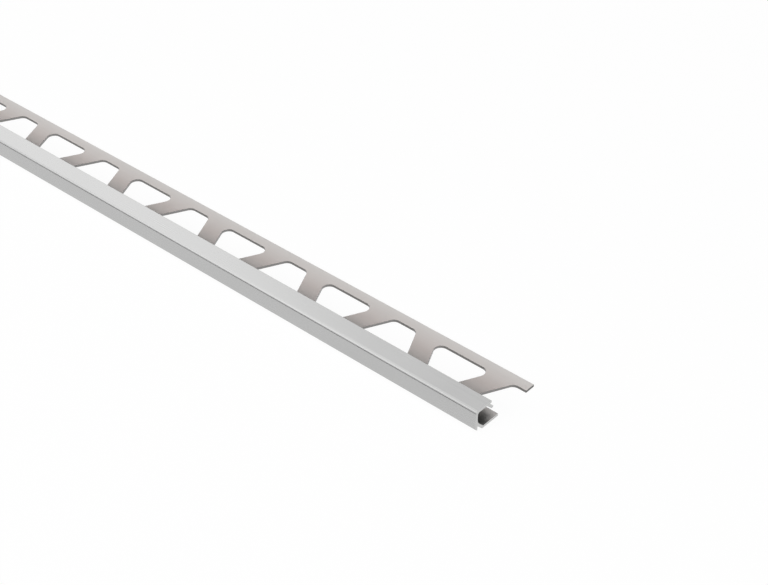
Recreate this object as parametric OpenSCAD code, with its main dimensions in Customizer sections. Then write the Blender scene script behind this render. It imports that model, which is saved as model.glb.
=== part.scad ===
// Square-nosed tile edge trim: one hollow aluminium extrusion with a perforated
// anchoring leg, lying unheld on the underside of that leg.
// X runs along the trim, the visible front face looks along -Y and Z is up.
// Millimetres. The origin is on the base plane below the middle of the trim.

/* [Trim] */
// Length of the stock
trim_length = 2500; // [500:10:3000]
// Height from the leg's underside to the top face, the thickness of the tile
trim_height = 8; // [8:0.5:15]
// Width from the front face to the rear edge of the leg
trim_width = 27.1; // [25:0.1:35]

/* [Section] */
// Thickness of the anchoring leg
leg_thick = 0.85; // [0.7:0.05:1.2]
// Thickness of the front wall
wall_thick = 0.95; // [0.7:0.05:1.2]
// Thickness of the top flange
flange_thick = 0.85; // [0.7:0.05:1]
// Thickness of the sloped web and of the joint rib
web_thick = 0.9; // [0.7:0.05:1]
// Reach of the top flange from the front face to its rear edge
flange_reach = 7; // [6.9:0.05:7.4]
// Height of the front wall's lower tip above the base
wall_lift = 0.8; // [0.6:0.05:1.2]
// Width of the front wall's lower tip, behind the bevel on its outer side
tip_width = 0.15; // [0.1:0.05:0.4]
// Distance from the front face to the front edge of the leg's underside
foot_start = 3.2; // [3:0.05:3.6]
// Reach of the joint rib from the front face to its rounded tip
rib_reach = 7.8; // [7.5:0.05:8]
// Drop of the joint rib's rounded tip below the top face
rib_drop = 3.1; // [2.8:0.05:3.6]
// Radius of the hollow's top front corner
corner_radius = 0.8; // [0.4:0.05:1.2]
// Radius of the bend from the front wall into the sloped web, inside the hollow
bend_radius = 3; // [1:0.1:3.5]
// Radius of the visible top front edge
nose_radius = 1; // [0.4:0.05:1.2]
// Radius of the top flange's rear edges
flange_radius = 0.3; // [0.1:0.05:0.35]
// Radius of the front edge of the leg's underside
foot_radius = 0.4; // [0.2:0.05:0.4]

/* [Perforation] */
// Spacing of the holes that point the same way
hole_pitch = 45.85; // [42:0.05:56]
// Distance from the front face to the front edge of the holes
hole_start = 10.3; // [9.5:0.1:12]
// Width of the rail behind the holes
rail_width = 3.7; // [2.5:0.05:5]
// Width of the slanted bars between the holes
bar_width = 7; // [5:0.05:7.5]
// Angle between the bars and the straight way across the leg
bar_slant = 26.2; // [10:0.1:28]
// Radius of the hole corners
hole_radius = 2.4; // [1:0.1:2.8]

/* [Hidden] */

// Smoothness of the hole corners, and number of sides of each arc of the section
$fn = 48;
arc_sides = 10;

// Share of a length that a 45 degree slope gives to each axis
diagonal = sqrt(0.5);

// Front face, measured from the middle of the width
front_y = -trim_width / 2;

// Underside of the top flange
flange_under = trim_height - flange_thick;

// Height and depth of the bevel on the front wall's lower tip
wall_bevel = wall_thick - tip_width;

// Sum of y and z along the outer and the inner face of the sloped web
web_outer = foot_start;
web_inner = foot_start + web_thick / diagonal;

// Middles of the rounded tips, edges and inner corners of the section
flange_upper = [flange_reach - flange_radius, trim_height - flange_radius];
flange_lower = [flange_reach - flange_radius, flange_under + flange_radius];
rib_tip = [rib_reach - web_thick / 2, trim_height - rib_drop + web_thick / 2];
nose = [nose_radius, trim_height - nose_radius];
foot = [foot_start + foot_radius * (1 / diagonal - 1), foot_radius];
corner = [wall_thick + corner_radius, flange_under - corner_radius];
bend = [wall_thick + bend_radius, web_inner - wall_thick + bend_radius * (1 / diagonal - 1)];

// Sum of y and z along the lower and the upper face of the joint rib
rib_lower = rib_tip[0] + rib_tip[1] - web_thick * diagonal;
rib_upper = rib_tip[0] + rib_tip[1] + web_thick * diagonal;

// Holes: depth, middle, long and short side, spacing of neighbours and number of the last one
hole_depth = trim_width - rail_width - hole_start;
hole_y = front_y + hole_start + hole_depth / 2;
hole_middle = hole_pitch / 2 - bar_width / cos(bar_slant);
hole_spread = hole_depth * tan(bar_slant);
hole_long = hole_middle + hole_spread;
hole_short = hole_middle - hole_spread;
hole_step = hole_pitch / 2;
hole_last = floor((trim_length + hole_long / 2) / hole_step);

// Corner circles of one hole, on its long and on its short side
long_corner = [hole_long / 2 - hole_radius / tan(45 - bar_slant / 2), hole_radius - hole_depth / 2];
short_corner = [hole_short / 2 - hole_radius / tan(45 + bar_slant / 2), hole_depth / 2 - hole_radius];
corner_step = [hole_radius * cos(bar_slant), hole_radius * sin(bar_slant)];

// Excess of a cutter past the faces that it cuts
cut_over = 1;

// Points of an arc about a middle, from one direction to another in degrees
function arc(middle, radius, from, to) = [
    for (side = [0:arc_sides])
        let (turn = from + (to - from) * side / arc_sides)
            middle + radius * [cos(turn), sin(turn)]
];

// Outline of the section with y measured from the front face: past the wall's tip,
// under the web and the leg, back through the hollow, round the rib and the flange
module section() {
    polygon(concat(
        [
            [0, wall_lift + wall_bevel],
            [wall_bevel, wall_lift],
            [wall_thick, wall_lift],
            [wall_thick, web_outer - wall_thick],
        ],
        arc(foot, foot_radius, 225, 270),
        [
            [trim_width, 0],
            [trim_width, leg_thick],
            [web_inner - leg_thick, leg_thick],
        ],
        arc(bend, bend_radius, 225, 180),
        arc(corner, corner_radius, 180, 90),
        [[rib_lower - flange_under, flange_under]],
        arc(rib_tip, web_thick / 2, 225, 405),
        [[rib_upper - flange_under, flange_under]],
        arc(flange_lower, flange_radius, 270, 360),
        arc(flange_upper, flange_radius, 0, 90),
        arc(nose, nose_radius, 90, 180)
    ));
}

// Outline of one hole about its own middle, long side towards the front
module hole() {
    polygon([
        [-long_corner[0], -hole_depth / 2],
        [long_corner[0], -hole_depth / 2],
        long_corner + corner_step,
        short_corner + corner_step,
        [short_corner[0], hole_depth / 2],
        [-short_corner[0], hole_depth / 2],
        [-short_corner[0] - corner_step[0], short_corner[1] + corner_step[1]],
        [-long_corner[0] - corner_step[0], long_corner[1] + corner_step[1]],
    ]);
    for (side = [-1, 1]) {
        translate([side * long_corner[0], long_corner[1]]) circle(r = hole_radius);
        translate([side * short_corner[0], short_corner[1]]) circle(r = hole_radius);
    }
}

// Extruded bar of the section with its middle at the origin
module bar() {
    translate([-trim_length / 2, front_y, 0])
        rotate([90, 0, 90])
            linear_extrude(height = trim_length)
                section();
}

// The trim: the extrusion with holes punched through its leg, each one turned
// against its neighbour, the first cut through its middle at the +X end
module edge_trim() {
    color([0.74, 0.74, 0.73])
        difference() {
            bar();
            for (index = [0:hole_last])
                translate([trim_length / 2 - index * hole_step, hole_y, -cut_over])
                    rotate([0, 0, 180 * (index % 2)])
                        linear_extrude(height = leg_thick + 2 * cut_over)
                            hole();
        }
}

edge_trim();
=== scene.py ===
"""Looks of the tile edge trim: a satin anodised aluminium bar on a white table."""
import math

import bmesh
import bpy
from mathutils import Matrix, Vector


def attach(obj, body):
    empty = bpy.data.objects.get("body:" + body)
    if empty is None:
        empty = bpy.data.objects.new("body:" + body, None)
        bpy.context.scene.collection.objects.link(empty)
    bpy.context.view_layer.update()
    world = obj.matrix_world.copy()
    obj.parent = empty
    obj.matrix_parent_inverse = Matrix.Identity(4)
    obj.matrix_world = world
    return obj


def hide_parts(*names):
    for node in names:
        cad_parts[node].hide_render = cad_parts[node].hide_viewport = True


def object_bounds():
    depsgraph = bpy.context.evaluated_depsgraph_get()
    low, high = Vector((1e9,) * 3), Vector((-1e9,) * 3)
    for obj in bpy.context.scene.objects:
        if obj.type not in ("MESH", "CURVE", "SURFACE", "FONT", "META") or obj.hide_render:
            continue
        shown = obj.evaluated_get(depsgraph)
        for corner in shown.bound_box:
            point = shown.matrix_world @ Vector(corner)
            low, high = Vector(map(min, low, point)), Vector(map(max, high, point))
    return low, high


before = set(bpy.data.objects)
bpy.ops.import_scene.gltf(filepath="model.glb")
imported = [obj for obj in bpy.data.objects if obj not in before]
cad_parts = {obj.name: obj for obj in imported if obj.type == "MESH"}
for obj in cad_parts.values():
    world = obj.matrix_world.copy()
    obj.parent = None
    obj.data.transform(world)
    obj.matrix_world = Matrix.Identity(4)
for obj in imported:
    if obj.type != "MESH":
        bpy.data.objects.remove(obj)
cad_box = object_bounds()

# One millimetre in metres: sizes of the trim are in millimetres, y from the front face and z from the base
MM = 0.001

# Overall sizes, from the frame, to the micrometre
LENGTH, WIDTH, HEIGHT = (round((high - low) / MM, 3) for low, high in zip(*cad_box))

# Section: thickness of the leg, the front wall, the top flange, and the sloped web and joint rib
LEG = 0.85
WALL = 0.95
FLANGE = 0.85
WEB = 0.9
# Section: reach of the top flange and of the joint rib, drop of the rib's tip below the top face
FLANGE_REACH = 7.0
RIB_REACH = 7.8
RIB_DROP = 3.1
# Section: height and width of the front wall's lower tip, front edge of the leg's underside
WALL_LIFT = 0.8
TIP_WIDTH = 0.15
FOOT_START = 3.2
# Section: radii of the hollow's upper corner and lower bend, the top edge, the flange's rear and the foot
CORNER_RADIUS = 0.8
BEND_RADIUS = 3.0
NOSE_RADIUS = 1.0
FLANGE_RADIUS = 0.3
FOOT_RADIUS = 0.4
# Holes: spacing of those that point the same way, their front edge, the radius of their corners
HOLE_PITCH = 45.85
HOLE_START = 10.3
HOLE_RADIUS = 2.4
# Holes: width of the rail behind them, width and lean of the bars between them
RAIL = 3.7
BAR = 7.0
SLANT = math.radians(26.2)

# Place of the front face in the frame, and share of a slope's length on each of its axes
FRONT = -WIDTH / 2
DIAGONAL = math.sqrt(0.5)
# Holes: spacing of neighbours, depth, long and short side, number, and distance of their middle
STEP = HOLE_PITCH / 2
DEPTH = WIDTH - RAIL - HOLE_START
HOLE_MIDDLE = STEP - BAR / math.cos(SLANT)
HOLE_SPREAD = DEPTH * math.tan(SLANT)
HOLE_LONG = HOLE_MIDDLE + HOLE_SPREAD
HOLE_SHORT = HOLE_MIDDLE - HOLE_SPREAD
HOLE_COUNT = math.floor((LENGTH + HOLE_LONG / 2) / STEP) + 1
HOLE_Y = HOLE_START + DEPTH / 2

# Radii of the holes' rolled upper edge, the leg's broken edges and the section's sharp corners
ROLL = 0.06
BREAK = 0.05
SMALL_EDGE = 0.08
# Number of sides of those edges, the section's other arcs and a hole's corners on its long and short side
EDGE_SIDES = 3
ARC_SIDES = 10
LONG_SIDES = 14
SHORT_SIDES = 8
# Line on the leg in front of the holes, where the plain section meets the punched part
STRIP_GAP = 0.9
STRIP_LINE = HOLE_START - STRIP_GAP
# Least distance of points, decimals that tell them apart, slack of a cut, least angle of a sharp edge
NEAR = 1e-3
DECIMALS = 4
CUT_SLACK = 1e-4
SHARP = math.radians(20)

# Material slots of the bar
NOSE, LEG_SKIN, PUNCHED, SAWN, SHEARED = range(5)

# Shades of the nose, the sawn end, the rail's sheared end, and the hole walls that look across and along;
# the sheared end and the hole walls are dark partly as cut metal and partly with painted shade, and the
# walls that look across get more painted shade than those that look along
NOSE_SHADE = (0.49, 0.49, 0.488)
SAWN_SHADE = (0.57, 0.57, 0.565)
SHEARED_AND_PAINTED_SHADE = (0.12, 0.116, 0.112)
ACROSS_PAINTED_SHADE = (0.165, 0.16, 0.155)
ALONG_PAINTED_LIGHT = (0.26, 0.253, 0.248)
# Shades of the leg's mill finish, with painted shade and light in them: the hollow's walls, its depth
# painted dark as shade, the strip beside it painted lighter as light, the bars darker with painted shade
# and warmer, the rear
INNER = (0.5, 0.49, 0.48)
DEEP_PAINTED_SHADE = (0.14, 0.14, 0.135)
BESIDE_PAINTED_LIGHT = (0.61, 0.59, 0.575)
BARS_PAINTED_SHADE = (0.545, 0.495, 0.475)
REAR = (0.585, 0.565, 0.55)
# Lines of those shades: the foot of the hollow's sloped wall and the line across the bars
HOLLOW_FOOT = FOOT_START + WEB / DIAGONAL - LEG
BAR_LINE = 18.0

# Stretch of the metal's lines along the trim, across it and down through the leg, and of its clouds
ALONG = (0.004, 1, 1)
ACROSS = (1, 0.02, 1)
DOWN = (1, 1, 0.02)
CLOUDY = (0.4, 1, 1)
EVEN = (1, 1, 1)
# Scale of the lines, clouds and grain of the metal, detail of the large ones and of the grain
LINE_SCALE = 2500
CLOUD_SCALE = 130
GRAIN_SCALE = 7000
COARSE_DETAIL = 3
GRAIN_DETAIL = 2
# Range of that texture, and how far it changes the shade and the roughness
TEXTURE_LOW = 0.3
TEXTURE_HIGH = 0.7
SHADE_CHANGE = 0.03
ROUGHNESS_CHANGE = 0.04
# Strength of the relief and depth of the grain and of the lines
RELIEF = 0.1
GRAIN_DEPTH = 0.01
LINE_DEPTH = 0.02
SPECULAR_LEVEL = 0.2

# Shade of the matt part of the table, share of the table that glows, distance of the lamps in metres
TABLE_SHADE = 0.9
TABLE_GLOW = 0.95
LAMP_DISTANCE = 3.0


def arc(middle, radius, start, end, sides):
    """Points of an arc, from one direction to another in degrees."""
    points = []
    for side in range(sides + 1):
        turn = math.radians(start + (end - start) * side / sides)
        points.append((middle[0] + radius * math.cos(turn), middle[1] + radius * math.sin(turn)))
    return points


def rounded(corners):
    """Open outline through corners given as y, z and radius, each inner one turned into an arc."""
    points = [corners[0][:2]]
    for before, (y, z, radius), after in zip(corners, corners[1:], corners[2:]):
        corner = Vector((y, z))
        back = (Vector(before[:2]) - corner).normalized()
        ahead = (Vector(after[:2]) - corner).normalized()
        half = back.angle(ahead) / 2
        middle = corner + (back + ahead).normalized() * radius / math.sin(half)
        start = (corner + back * radius / math.tan(half) - middle).normalized()
        end = (corner + ahead * radius / math.tan(half) - middle).normalized()
        sides = ARC_SIDES if radius > SMALL_EDGE else EDGE_SIDES
        for side in range(sides + 1):
            point = tuple(middle + radius * start.slerp(end, side / sides))
            if math.dist(point, points[-1]) > NEAR:
                points.append(point)
    return points + [corners[-1][:2]]


def section():
    """Open outline of the section from the leg's upper side round the nose to its underside."""
    under = HEIGHT - FLANGE
    inner = FOOT_START + WEB / DIAGONAL
    bevel = WALL - TIP_WIDTH
    rib = Vector((RIB_REACH - WEB / 2, HEIGHT - RIB_DROP + WEB / 2))
    rib_root = rib.x + rib.y - under
    down = Vector((1, -1)) * DIAGONAL * WEB / 2
    up = Vector((1, 1)) * DIAGONAL * WEB / 2
    corners = [
        (STRIP_LINE, LEG, 0),
        (inner - LEG, LEG, SMALL_EDGE),
        (WALL, inner - WALL, BEND_RADIUS),
        (WALL, under, CORNER_RADIUS),
        (rib_root - WEB * DIAGONAL, under, SMALL_EDGE),
        (*(rib + down - up), WEB / 2),
        (*(rib + down + up), WEB / 2),
        (rib_root + WEB * DIAGONAL, under, SMALL_EDGE),
        (FLANGE_REACH, under, FLANGE_RADIUS),
        (FLANGE_REACH, HEIGHT, FLANGE_RADIUS),
        (0, HEIGHT, NOSE_RADIUS),
        (0, WALL_LIFT + bevel, SMALL_EDGE),
        (bevel, WALL_LIFT, SMALL_EDGE),
        (WALL, WALL_LIFT, SMALL_EDGE),
        (WALL, FOOT_START - WALL, SMALL_EDGE),
        (FOOT_START, 0, FOOT_RADIUS),
        (STRIP_LINE, 0, 0),
    ]
    return rounded(corners)


def hole_side(grow):
    """Right half of a hole about its middle, long side to the front, grown outwards.

    It comes as the front corner, the middle of the slanted side and the rear corner."""
    lean = math.degrees(SLANT)
    radius = HOLE_RADIUS + grow
    long_x = HOLE_LONG / 2 - HOLE_RADIUS / math.tan(math.pi / 4 - SLANT / 2)
    short_x = HOLE_SHORT / 2 - HOLE_RADIUS / math.tan(math.pi / 4 + SLANT / 2)
    front = arc((long_x, HOLE_RADIUS - DEPTH / 2), radius, -90, lean, LONG_SIDES)
    rear = arc((short_x, DEPTH / 2 - HOLE_RADIUS), radius, lean, 90, SHORT_SIDES)
    return front, (HOLE_MIDDLE / 2 + grow / math.cos(SLANT), 0.0), rear


def hole_x(index):
    """Middle of a hole along the trim; the first is cut through at the +X end."""
    return LENGTH / 2 - index * STEP


def bar_x(index, y):
    """Middle line of the slanted bar on the -X side of a hole, at a distance from the front face."""
    lean = math.tan(SLANT) * (y - HOLE_Y)
    return hole_x(index) - STEP / 2 + (lean if index % 2 == 0 else -lean)


class Bar:
    """Collects the points and faces of the trim, given in millimetres from the front face."""

    def __init__(self):
        self.mesh = bmesh.new()
        self.found = {}

    def point(self, x, y, z):
        key = (round(x, DECIMALS), round(y, DECIMALS), round(z, DECIMALS))
        if key not in self.found:
            self.found[key] = self.mesh.verts.new((x * MM, (y + FRONT) * MM, z * MM))
        return self.found[key]

    def face(self, points, slot):
        made = self.mesh.faces.new([self.point(*p) for p in points])
        made.material_index = slot
        made.smooth = True
        return made


def sweep(bar, outline, slot_of):
    """Runs an open outline along the trim, with a station at the middle of each slanted bar."""
    for index in range(HOLE_COUNT):
        for (y0, z0), (y1, z1) in zip(outline, outline[1:]):
            line0, line1 = max(y0, STRIP_LINE), max(y1, STRIP_LINE)
            bar.face(
                [
                    (bar_x(index - 1, line0), y0, z0),
                    (bar_x(index, line0), y0, z0),
                    (bar_x(index, line1), y1, z1),
                    (bar_x(index - 1, line1), y1, z1),
                ],
                slot_of((y0 + y1) / 2, (z0 + z1) / 2),
            )


def punch(bar, index):
    """Adds the leg round one hole: the hole's wall with its edges, and both skins of the leg."""
    turn = 1 if index % 2 == 0 else -1
    middle = hole_x(index)

    def ring(grow, z):
        front, split, rear = hole_side(grow)
        half = front + [split] + rear
        whole = half + [(-x, y) for x, y in reversed(half)]
        return [(middle + turn * x, HOLE_Y + turn * y, z) for x, y in whole]

    angles = [math.pi / 2 * side / EDGE_SIDES for side in range(EDGE_SIDES + 1)]
    rolled = [ring(ROLL * (1 - math.sin(a)), LEG - ROLL * (1 - math.cos(a))) for a in angles]
    broken = [ring(BREAK * (1 - math.cos(a)), BREAK * (1 - math.sin(a))) for a in angles]
    rings = rolled + broken
    count = len(rings[0])
    for upper, lower in zip(rings, rings[1:]):
        for here in range(count):
            after = (here + 1) % count
            bar.face([upper[here], upper[after], lower[after], lower[here]], PUNCHED)

    first = len(hole_side(0)[0])
    last = count - 1 - first
    lines = (STRIP_LINE, HOLE_Y, WIDTH - BREAK)
    skins = []
    for loop, z in ((rings[0], LEG), (rings[-1], 0.0)):
        ahead = loop[first:last + 1]
        behind = loop[last:] + loop[:first + 1]
        near, far = (behind, ahead) if turn == 1 else (ahead, behind)
        plus = [(bar_x(index - 1, y), y, z) for y in lines]
        minus = [(bar_x(index, y), y, z) for y in lines]
        for points in (
            near + [plus[1], plus[0], minus[0], minus[1]],
            far + [minus[1], minus[2], plus[2], plus[1]],
        ):
            skins.append(bar.face(points[::-1] if z else points, LEG_SKIN))
    return skins


def trim_ends(mesh):
    """Saws the bar off at both ends and closes the cuts."""
    for sign in (1, -1):
        end = sign * LENGTH / 2 * MM
        bmesh.ops.bisect_plane(
            mesh,
            geom=mesh.verts[:] + mesh.edges[:] + mesh.faces[:],
            dist=CUT_SLACK * MM,
            plane_co=(end, 0, 0),
            plane_no=(sign, 0, 0),
            clear_outer=True,
        )
        rim = [
            edge
            for edge in mesh.edges
            if edge.is_boundary and all(abs(vert.co.x - end) < NEAR * MM for vert in edge.verts)
        ]
        filled = bmesh.ops.triangle_fill(mesh, edges=rim, use_beauty=True, normal=(sign, 0, 0))
        for face in filled["geom"]:
            if isinstance(face, bmesh.types.BMFace):
                rail = face.calc_center_median().y > (HOLE_Y + FRONT) * MM
                face.material_index = SHEARED if rail else SAWN
                if face.normal.x * sign < 0:
                    face.normal_flip()


def skin(y, z):
    """Slot of the plain section: the channel and the leg keep a duller skin than the nose, and the channel
    also takes the leg's painted shade.
    """
    channel = WALL - NEAR < y < FLANGE_REACH - FLANGE and z < HEIGHT - FLANGE / 2
    return LEG_SKIN if channel or (z < LEG + NEAR and y > FOOT_START) else NOSE


def make_trim():
    """The whole trim as one closed mesh."""
    bar = Bar()
    sweep(bar, section(), skin)
    rear = [(WIDTH - BREAK, 0.0), (WIDTH, BREAK), (WIDTH, LEG - BREAK), (WIDTH - BREAK, LEG)]
    sweep(bar, rear, lambda y, z: LEG_SKIN)
    skins = []
    for index in range(HOLE_COUNT):
        skins += punch(bar, index)
    bar.mesh.normal_update()
    bmesh.ops.triangulate(bar.mesh, faces=skins)
    trim_ends(bar.mesh)
    data = bpy.data.meshes.new("edge_trim_bar")
    bar.mesh.to_mesh(data)
    bar.mesh.free()
    data.set_sharp_from_angle(angle=SHARP)
    made = bpy.data.objects.new("edge_trim_bar", data)
    bpy.context.scene.collection.objects.link(made)
    weighted = made.modifiers.new("flat_faces", "WEIGHTED_NORMAL")
    weighted.keep_sharp = True
    return made


def link(tree, source, target):
    """Joins an output of a node to an input."""
    tree.links.new(source, target)


def noise(tree, place, stretch, scale, detail):
    """Noise in the object's own space, drawn out along each axis whose stretch is small."""
    mapping = tree.nodes.new("ShaderNodeMapping")
    mapping.inputs["Scale"].default_value = stretch
    texture = tree.nodes.new("ShaderNodeTexNoise")
    texture.inputs["Scale"].default_value = scale
    texture.inputs["Detail"].default_value = detail
    link(tree, place.outputs["Object"], mapping.inputs["Vector"])
    link(tree, mapping.outputs["Vector"], texture.inputs["Vector"])
    return texture.outputs["Fac"]


def spread_out(tree, value, low, high, new_low, new_high):
    """Brings a value from one range to another."""
    ranged = tree.nodes.new("ShaderNodeMapRange")
    for socket, number in zip(ranged.inputs[1:5], (low, high, new_low, new_high)):
        socket.default_value = number
    link(tree, value, ranged.inputs["Value"])
    return ranged.outputs["Result"]


def varied(tree, texture, middle, change):
    """Number that a texture moves up and down about its middle."""
    return spread_out(tree, texture, TEXTURE_LOW, TEXTURE_HIGH, middle - change, middle + change)


def bump(tree, height, depth):
    """Relief node of a height texture, with its depth in millimetres."""
    relief = tree.nodes.new("ShaderNodeBump")
    relief.inputs["Strength"].default_value = RELIEF
    relief.inputs["Distance"].default_value = depth * MM
    link(tree, height, relief.inputs["Height"])
    return relief


def by_place(tree, place):
    """0 at the front face and 1 at the rear edge of the leg."""
    axes = tree.nodes.new("ShaderNodeSeparateXYZ")
    link(tree, place.outputs["Object"], axes.inputs["Vector"])
    return spread_out(tree, axes.outputs["Y"], FRONT * MM, -FRONT * MM, 0, 1)


def by_direction(tree, place):
    """0 on faces that look across the trim and 1 on faces that look along it."""
    axes = tree.nodes.new("ShaderNodeSeparateXYZ")
    link(tree, place.outputs["Normal"], axes.inputs["Vector"])
    along = tree.nodes.new("ShaderNodeMath")
    along.operation = "ABSOLUTE"
    link(tree, axes.outputs["X"], along.inputs[0])
    return along.outputs[0]


def shade_ramp(tree, value, shades):
    """Colour by a value from 0 to 1, through shades given with the value that they belong to."""
    ramp = tree.nodes.new("ShaderNodeValToRGB")
    stops = ramp.color_ramp.elements
    for index, (position, shade) in enumerate(shades):
        stop = stops[index] if index < 2 else stops.new(1.0)
        stop.position = position
        stop.color = (*shade, 1)
    link(tree, value, ramp.inputs["Fac"])
    return ramp.outputs["Color"]


def metal(name, shades, metallic, roughness, lines, shaded=by_place):
    """Satin metal: lines drawn out one way, faint clouds and etched grain over its shades."""
    material = bpy.data.materials.new(name)
    material.use_nodes = True
    tree = material.node_tree
    nodes = tree.nodes
    shader = nodes["Principled BSDF"]
    shader.inputs["Metallic"].default_value = metallic
    shader.inputs["Specular IOR Level"].default_value = SPECULAR_LEVEL
    place = nodes.new("ShaderNodeTexCoord")

    drawn = noise(tree, place, lines, LINE_SCALE, COARSE_DETAIL)
    clouds = noise(tree, place, CLOUDY, CLOUD_SCALE, COARSE_DETAIL)
    grains = noise(tree, place, EVEN, GRAIN_SCALE, GRAIN_DETAIL)
    mixed = nodes.new("ShaderNodeMix")
    mixed.data_type = "FLOAT"
    mixed.inputs["Factor"].default_value = 0.5
    link(tree, drawn, mixed.inputs["A"])
    link(tree, clouds, mixed.inputs["B"])
    texture = mixed.outputs["Result"]

    tint = nodes.new("ShaderNodeVectorMath")
    tint.operation = "SCALE"
    link(tree, shade_ramp(tree, shaded(tree, place), shades), tint.inputs["Vector"])
    link(tree, varied(tree, texture, 1, SHADE_CHANGE), tint.inputs["Scale"])
    link(tree, tint.outputs["Vector"], shader.inputs["Base Color"])
    link(tree, varied(tree, texture, roughness, ROUGHNESS_CHANGE), shader.inputs["Roughness"])

    etched = bump(tree, grains, GRAIN_DEPTH)
    scored = bump(tree, drawn, LINE_DEPTH)
    link(tree, etched.outputs["Normal"], scored.inputs["Normal"])
    link(tree, scored.outputs["Normal"], shader.inputs["Normal"])
    return material


def plain(shade):
    """One shade all over."""
    return ((0, shade), (1, shade))


def satin_anodised():
    """Finish of the nose."""
    return metal("satin_anodised", plain(NOSE_SHADE), metallic=1.0, roughness=0.25, lines=ALONG)


def leg_finish_and_painted_shade():
    """Finish of the leg and the hollow, with its shades from front to rear: painted shade down the
    hollow's sloped wall and in its depth, painted light on the strip beside it, and painted shade on the
    bars.
    """
    places = (
        (WALL, INNER),
        (HOLLOW_FOOT, DEEP_PAINTED_SHADE),
        ((HOLLOW_FOOT + FLANGE_REACH) / 2, DEEP_PAINTED_SHADE),
        (RIB_REACH, BESIDE_PAINTED_LIGHT),
        (BAR_LINE, BARS_PAINTED_SHADE),
        (WIDTH, REAR),
    )
    shades = [(y / WIDTH, shade) for y, shade in places]
    return metal("leg_finish_and_painted_shade", shades, metallic=0.0, roughness=0.5, lines=ALONG)


def punched_edge_and_painted_shade():
    """Finish of the holes' walls, dark partly as punched metal and partly with painted shade, which is
    darker where they look across the trim and lighter where they look along it.
    """
    shades = ((0, ACROSS_PAINTED_SHADE), (1, ALONG_PAINTED_LIGHT))
    return metal("punched_edge_and_painted_shade", shades, metallic=1.0, roughness=0.25, lines=DOWN, shaded=by_direction)


def sawn_end():
    """Finish of the section's sawn end."""
    return metal("sawn_end", plain(SAWN_SHADE), metallic=1.0, roughness=0.45, lines=ACROSS)


def sheared_end_and_painted_shade():
    """Finish of the rail's sheared end, dark partly as sheared metal and partly with painted shade."""
    return metal("sheared_end_and_painted_shade", plain(SHEARED_AND_PAINTED_SHADE), metallic=1.0, roughness=0.25, lines=ACROSS)


def seen_directly(tree):
    """1 for rays from the camera, or mirrored or refracted from it, and 0 for light that spreads."""
    path = tree.nodes.new("ShaderNodeLightPath")
    total = path.outputs["Is Camera Ray"]
    for name in ("Is Glossy Ray", "Is Transmission Ray"):
        larger = tree.nodes.new("ShaderNodeMath")
        larger.operation = "MAXIMUM"
        link(tree, total, larger.inputs[0])
        link(tree, path.outputs[name], larger.inputs[1])
        total = larger.outputs[0]
    return total


def table_white():
    """White table: a share of it glows where it is seen, and the rest is matt and takes the shadow."""
    material = bpy.data.materials.new("table_white")
    material.use_nodes = True
    tree = material.node_tree
    nodes = tree.nodes
    nodes.clear()
    weight = nodes.new("ShaderNodeMath")
    weight.operation = "MULTIPLY"
    weight.inputs[1].default_value = TABLE_GLOW
    link(tree, seen_directly(tree), weight.inputs[0])
    matt = nodes.new("ShaderNodeBsdfDiffuse")
    matt.inputs["Color"].default_value = (TABLE_SHADE, TABLE_SHADE, TABLE_SHADE, 1)
    glow = nodes.new("ShaderNodeEmission")
    mix = nodes.new("ShaderNodeMixShader")
    link(tree, weight.outputs[0], mix.inputs["Fac"])
    link(tree, matt.outputs[0], mix.inputs[1])
    link(tree, glow.outputs[0], mix.inputs[2])
    out = nodes.new("ShaderNodeOutputMaterial")
    link(tree, mix.outputs[0], out.inputs["Surface"])
    return material


def make_floor():
    """White table top just below the leg."""
    half = 15.0
    level = -0.03 * MM
    data = bpy.data.meshes.new("table_top")
    corners = [(-half, -half, level), (half, -half, level), (half, half, level), (-half, half, level)]
    data.from_pydata(corners, [], [(0, 1, 2, 3)])
    data.materials.append(table_white())
    floor = bpy.data.objects.new("table_top", data)
    bpy.context.scene.collection.objects.link(floor)


def make_world(level):
    """Plain light from all round, white where it is seen."""
    world = bpy.data.worlds.new("studio")
    bpy.context.scene.world = world
    world.use_nodes = True
    tree = world.node_tree
    nodes = tree.nodes
    nodes.clear()
    light = nodes.new("ShaderNodeBackground")
    light.inputs["Color"].default_value = (1, 1, 1, 1)
    light.inputs["Strength"].default_value = level
    white = nodes.new("ShaderNodeBackground")
    white.inputs["Color"].default_value = (1, 1, 1, 1)
    mix = nodes.new("ShaderNodeMixShader")
    out = nodes.new("ShaderNodeOutputWorld")
    link(tree, seen_directly(tree), mix.inputs["Fac"])
    link(tree, light.outputs[0], mix.inputs[1])
    link(tree, white.outputs[0], mix.inputs[2])
    link(tree, mix.outputs[0], out.inputs["Surface"])


def make_lamp(name, azimuth, elevation, size, radiance, matt=True, gloss=True):
    """Soft rectangular lamp that looks at the trim's near end from a direction in degrees.

    It can leave out the matt light or the gloss."""
    target = Vector((LENGTH / 2 * MM, 0, 0))
    flat = math.cos(math.radians(elevation))
    towards = Vector(
        (
            flat * math.cos(math.radians(azimuth)),
            flat * math.sin(math.radians(azimuth)),
            math.sin(math.radians(elevation)),
        )
    )
    data = bpy.data.lights.new(name, "AREA")
    data.shape = "RECTANGLE"
    data.size, data.size_y = size
    data.energy = radiance * math.pi * size[0] * size[1]
    lamp = bpy.data.objects.new(name, data)
    bpy.context.scene.collection.objects.link(lamp)
    lamp.location = target + LAMP_DISTANCE * towards
    lamp.rotation_euler = (-towards).to_track_quat("-Z", "Y").to_euler()
    lamp.visible_diffuse = matt
    lamp.visible_glossy = gloss


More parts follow.
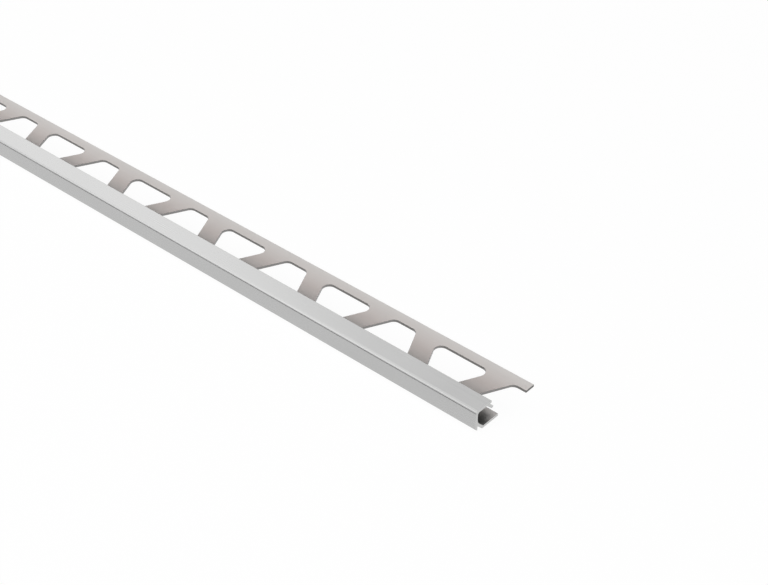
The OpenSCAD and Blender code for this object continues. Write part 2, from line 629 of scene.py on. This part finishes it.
def make_flag():
    """Dark card low in front of the trim, seen only as the dark line along its front edge."""
    half = 5.0
    start = 0.045
    distance = 1.0
    lift = 0.0005
    height = 0.12
    black = bpy.data.materials.new("flag_black")
    black.use_nodes = True
    shader = black.node_tree.nodes["Principled BSDF"]
    shader.inputs["Base Color"].default_value = (0.02, 0.02, 0.02, 1)
    data = bpy.data.meshes.new("flag")
    rows = ((-start, lift), (-distance, lift), (-distance, height))
    corners = [(side * half, y, z) for y, z in rows for side in (-1, 1)]
    data.from_pydata(corners, [], [(0, 1, 3, 2), (2, 3, 5, 4)])
    data.materials.append(black)
    flag = bpy.data.objects.new("flag", data)
    bpy.context.scene.collection.objects.link(flag)
    flag.visible_camera = False
    flag.visible_diffuse = False
    flag.visible_shadow = False


def make_camera():
    """Camera at the photograph's place, fitted to the edges of the trim."""
    azimuth = math.radians(41.686)
    elevation = math.radians(37.177)
    place = (1.434902, -0.259329, 0.282048)
    right = Vector((math.cos(azimuth), math.sin(azimuth), 0))
    level = math.cos(elevation)
    back = Vector((math.sin(azimuth) * level, -math.cos(azimuth) * level, math.sin(elevation)))
    up = back.cross(right)
    data = bpy.data.cameras.new("camera")
    data.sensor_width = 36.0
    data.lens = 69.69
    data.clip_start = 0.01
    data.clip_end = 60.0
    camera = bpy.data.objects.new("camera", data)
    bpy.context.scene.collection.objects.link(camera)
    turn = Matrix((right, up, back)).transposed().to_4x4()
    camera.matrix_world = Matrix.Translation(place) @ turn
    bpy.context.scene.camera = camera


# The trim, with its finishes in the order of the material slots
trim = make_trim()
for finish in (satin_anodised, leg_finish_and_painted_shade, punched_edge_and_painted_shade, sawn_end, sheared_end_and_painted_shade):
    trim.data.materials.append(finish())
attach(trim, "root")
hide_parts("edge_trim")

# The studio: the first two lamps light the matt leg, and the other two show as gloss on the nose
make_floor()
make_world(level=0.12)
make_lamp("key_softbox", azimuth=264, elevation=33, size=(2.5, 1.5), radiance=7.9, gloss=False)
make_lamp("top_softbox", azimuth=270, elevation=79, size=(2.0, 1.3), radiance=4.3, gloss=False)
make_lamp("back_softbox", azimuth=160, elevation=40, size=(2.1, 2.2), radiance=0.45, matt=False)
make_lamp("ridge_softbox", azimuth=217, elevation=43, size=(1.5, 1.6), radiance=0.66, matt=False)
make_flag()
make_camera()

bpy.context.scene.view_settings.view_transform = "Standard"
